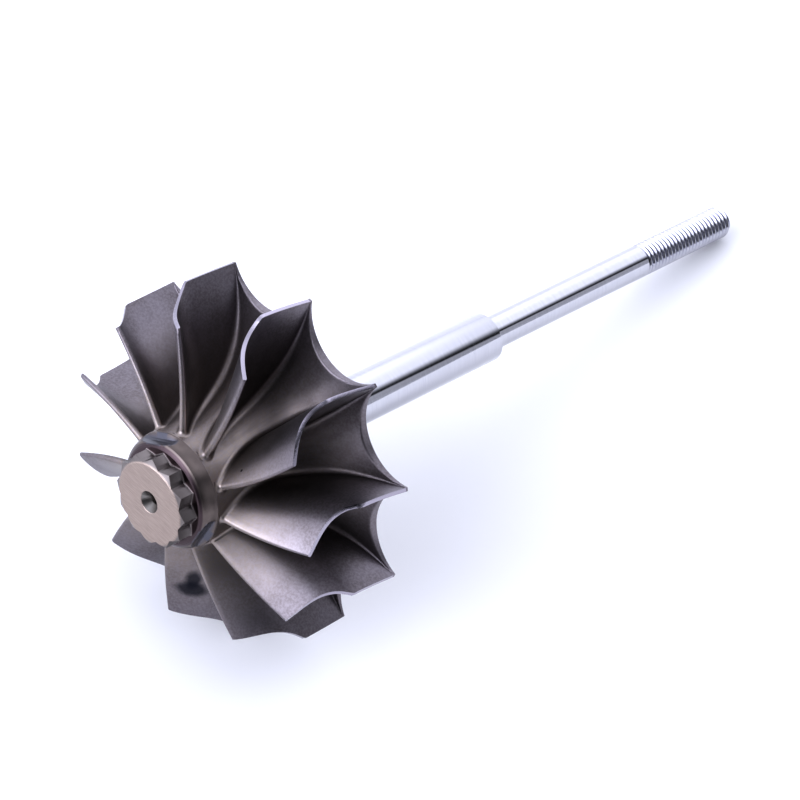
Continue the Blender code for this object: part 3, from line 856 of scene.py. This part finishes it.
def cast_alloy():
    """Shot-blasted investment casting: matte, brownish grey, browner by the hub, with ground edges and
    painted shade deep in the passages.
    """
    made, tree, shader = new_material("Shot-blasted nickel casting", "#8c8788", 0.4)
    place, _, radius = rotor_place(tree)
    cloud = noise(tree, place, CLOUD_SIZE, 3.0)
    grain = noise(tree, place, GRAIN_SIZE, 3.0, 0.65)
    outward = ramp(tree, radius, 11.0 * MM, 40.0 * MM)
    body = mix_colour(tree, outward, "#988d84", "#736e73")
    body = mix_colour(tree, ramp(tree, cloud, 0.35, 0.65, 0.0, 0.35), body, "#544c48")
    body = mix_colour(tree, ramp(tree, grain, 0.35, 0.65, 0.0, 0.5), body, "#8b858b")
    # Painted shade: the casting darkens towards #2b2421 where little of the space before it is open, deep in
    # the passages between the blades.
    painted_shade_openness = add_node(tree, "ShaderNodeAttribute", {"attribute_name": "openness"})
    body = mix_colour(tree, ramp(tree, painted_shade_openness.outputs["Fac"], 0.14, 0.6, 0.72, 0.0), body, "#2b2421")
    for centre, size in SMUDGE_SPOTS:
        smudge = spot(tree, place, centre, size, SMUDGE_SOFT, SMUDGE_RAGGED)
        body = mix_colour(tree, multiply(tree, smudge, SMUDGE_STRENGTH), body, "#191b24")
    # Painted shade: a small dark spot at the pit stands in for the shade inside it.
    body = mix_colour(tree, spot(tree, place, PIT_PLACE, PIT_SIZE, PIT_SOFT), body, "#2b2523")
    edge = add_node(tree, "ShaderNodeAttribute", {"attribute_name": "ground_edge"})
    colour = mix_colour(tree, edge.outputs["Fac"], body, "#a39ea8")
    tree.links.new(colour, shader.inputs["Base Color"])
    rough = ramp(tree, cloud, 0.3, 0.7, 0.36, 0.44)
    polish = ramp(tree, edge.outputs["Fac"], 0.0, 1.0, 1.0, 0.4, smooth=False)
    tree.links.new(multiply(tree, rough, polish), shader.inputs["Roughness"])
    set_bump(tree, shader, grain, GRAIN_DEPTH, 0.7)
    return made


def ground_nose():
    """Machined nose: a ground, pinkish face with fine marks, greyer points and hole, a darker collar, and a
    ring of painted shade on the collar just behind the points.
    """
    made, tree, shader = new_material("Face-ground nickel alloy", "#b5a6a4", 0.35)
    place, station, radius = rotor_place(tree)
    marks = noise(tree, place, 0.5, 3.0, 0.6, (0.12, 2.2, 1.0))
    haze = noise(tree, place, 3.0, 2.0)
    face = ramp(tree, station, 0.04 * MM, 0.2 * MM, 1.0, 0.0)
    ground = mix_colour(tree, ramp(tree, marks, 0.3, 0.7), "#93867f", "#a6988f")
    side = mix_colour(tree, ramp(tree, haze, 0.3, 0.7), "#625a57", "#6d6460")
    points = ramp(tree, station, (DRIVE_LENGTH - 0.1) * MM, DRIVE_LENGTH * MM, 1.0, 0.0)
    side = mix_colour(tree, points, side, "#76706e")
    # Painted shade: a darker ring on the collar's front just behind the points, for the shade in the step
    # there.
    ring_front_painted_shade = multiply(tree, ramp(tree, station, (DRIVE_LENGTH - 0.1) * MM, DRIVE_LENGTH * MM),
                          ramp(tree, station, 4.4 * MM, 4.6 * MM, 1.0, 0.0))
    side = mix_colour(tree, ring_front_painted_shade, side, "#4b4043")
    flats = add_node(tree, "ShaderNodeAttribute", {"attribute_name": "balance_flat"})
    side = mix_colour(tree, flats.outputs["Fac"], side, "#595961")
    hole = ramp(tree, radius, (CENTRE_HOLE_RADIUS - 0.05) * MM, CENTRE_HOLE_RADIUS * MM, 1.0, 0.0)
    finish = mix_colour(tree, hole, mix_colour(tree, face, side, ground), "#84807c")
    tree.links.new(finish, shader.inputs["Base Color"])
    dull_hole = ramp(tree, hole, 0.0, 1.0, 1.0, 1.1, smooth=False)
    rough = ramp(tree, face, 0.0, 1.0, 0.3, 0.42)
    tree.links.new(multiply(tree, rough, dull_hole), shader.inputs["Roughness"])
    set_bump(tree, shader, multiply(tree, marks, face), 0.02, 0.5)
    return made


def ground_steel():
    """Mirror-ground steel with faint marks round the shaft."""
    made, tree, shader = new_material("Cylindrically ground steel", "#c5c5ca", 0.1)
    place, _, _ = rotor_place(tree)
    marks = noise(tree, place, 0.6, 2.0, 0.5, (0.1, 0.1, 4.0))
    colour = mix_colour(tree, ramp(tree, marks, 0.3, 0.7), "#c0c0c6", "#c8c8cd")
    tree.links.new(colour, shader.inputs["Base Color"])
    tree.links.new(ramp(tree, marks, 0.3, 0.7, 0.07, 0.12), shader.inputs["Roughness"])
    return made


def thread_steel():
    """Rolled thread: bright crests, and painted shade down in its roots."""
    made, tree, shader = new_material("Rolled thread steel", "#bfbfc6", 0.16)
    place, _, radius = rotor_place(tree)
    marks = noise(tree, place, 1.2, 2.0)
    bright = mix_colour(tree, ramp(tree, marks, 0.3, 0.7), "#b8b8c0", "#c6c6cc")
    root = (THREAD_RADIUS - THREAD_DEPTH) * MM
    # Painted shade: the metal darkens towards #83859a down in the thread's roots, for the shade in the
    # grooves.
    height = ramp(tree, radius, root + 0.05 * MM, root + 0.5 * MM)
    tree.links.new(mix_colour(tree, height, "#83859a", bright), shader.inputs["Base Color"])
    tree.links.new(ramp(tree, marks, 0.3, 0.7, 0.12, 0.2), shader.inputs["Roughness"])
    return made


def panel_light(tree, direction):
    """Brightness of the room and its soft panels towards a direction."""
    total = None
    for azimuth, elevation, strength in PANELS:
        turn, rise = math.radians(azimuth), math.radians(elevation)
        aim = (math.cos(turn) * math.cos(rise), math.sin(turn) * math.cos(rise), math.sin(rise))
        facing = add_node(tree, "ShaderNodeVectorMath", {"operation": "DOT_PRODUCT", 1: aim}, {0: direction})
        near = calculate(tree, "MAXIMUM", facing.outputs["Value"], 0.0)
        soft = calculate(tree, "POWER", near, PANEL_SOFTNESS)
        summed = add_node(tree, "ShaderNodeMath",
                          {"operation": "MULTIPLY_ADD", 1: strength, 2: ROOM_LIGHT}, {0: soft})
        if total:
            tree.links.new(total, summed.inputs[2])
        total = summed.outputs[0]
    return calculate(tree, "MAXIMUM", total, 0.0)


def make_sky():
    """Even room light with soft panels, and an unlit gap low at one side, for the shaft's dark line."""
    world = bpy.data.worlds.new("studio")
    bpy.context.scene.world = world
    world.use_nodes = True
    tree = world.node_tree
    direction = add_node(tree, "ShaderNodeTexCoord").outputs["Generated"]
    side = add_node(tree, "ShaderNodeVectorMath", {"operation": "DOT_PRODUCT", 1: GAP_SIDE}, {0: direction})
    before, after, beyond = (ramp(tree, side.outputs["Value"], *limits) for limits in GAP_RAMPS)
    lit = calculate(tree, "ADD", calculate(tree, "ADD", before, after), beyond)
    strength = multiply(tree, multiply(tree, panel_light(tree, direction), lit), LIGHT_SCALE)
    background = tree.nodes["Background"]
    background.inputs["Color"].default_value = linear(LIGHT_COLOUR)
    tree.links.new(strength, background.inputs["Strength"])


def make_stage():
    """Plain pale floor under a soft, cool white studio light."""
    shape = bmesh.new()
    bmesh.ops.create_grid(shape, x_segments=1, y_segments=1, size=FLOOR_HALF)
    mesh = plain_mesh(shape, "floor")
    floor = bpy.data.objects.new("floor", mesh)
    bpy.context.scene.collection.objects.link(floor)
    paper, _, shader = new_material("White paper", "#ededed", 0.9, 0.0)
    shader.inputs["Emission Color"].default_value = linear(LIGHT_COLOUR)
    shader.inputs["Emission Strength"].default_value = FLOOR_GLOW
    mesh.materials.append(paper)
    make_sky()
    bpy.context.scene.view_settings.view_transform = "Standard"
    bpy.context.scene.view_settings.gamma = VIEW_GAMMA


def make_camera():
    """Camera at the photograph's place and lens."""
    data = bpy.data.cameras.new("camera")
    data.lens = CAMERA_LENS
    data.clip_start = CAMERA_NEAR
    camera = bpy.data.objects.new("camera", data)
    camera.location = Vector(CAMERA_PLACE) * MM
    camera.rotation_euler = [math.radians(angle) for angle in CAMERA_TURN]
    bpy.context.scene.collection.objects.link(camera)
    bpy.context.scene.camera = camera


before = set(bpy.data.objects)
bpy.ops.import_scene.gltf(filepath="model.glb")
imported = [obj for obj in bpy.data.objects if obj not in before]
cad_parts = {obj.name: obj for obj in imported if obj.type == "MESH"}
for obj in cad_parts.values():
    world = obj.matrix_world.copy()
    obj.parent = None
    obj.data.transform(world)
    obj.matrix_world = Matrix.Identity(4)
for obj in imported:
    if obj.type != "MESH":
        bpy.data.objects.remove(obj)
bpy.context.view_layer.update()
make_camera()
make_stage()
make_wheel(cast_alloy())
nose_finish = ground_nose()
make_nose_drive(nose_finish)
make_nose_collar(nose_finish)
make_shaft(ground_steel())
make_thread(thread_steel())
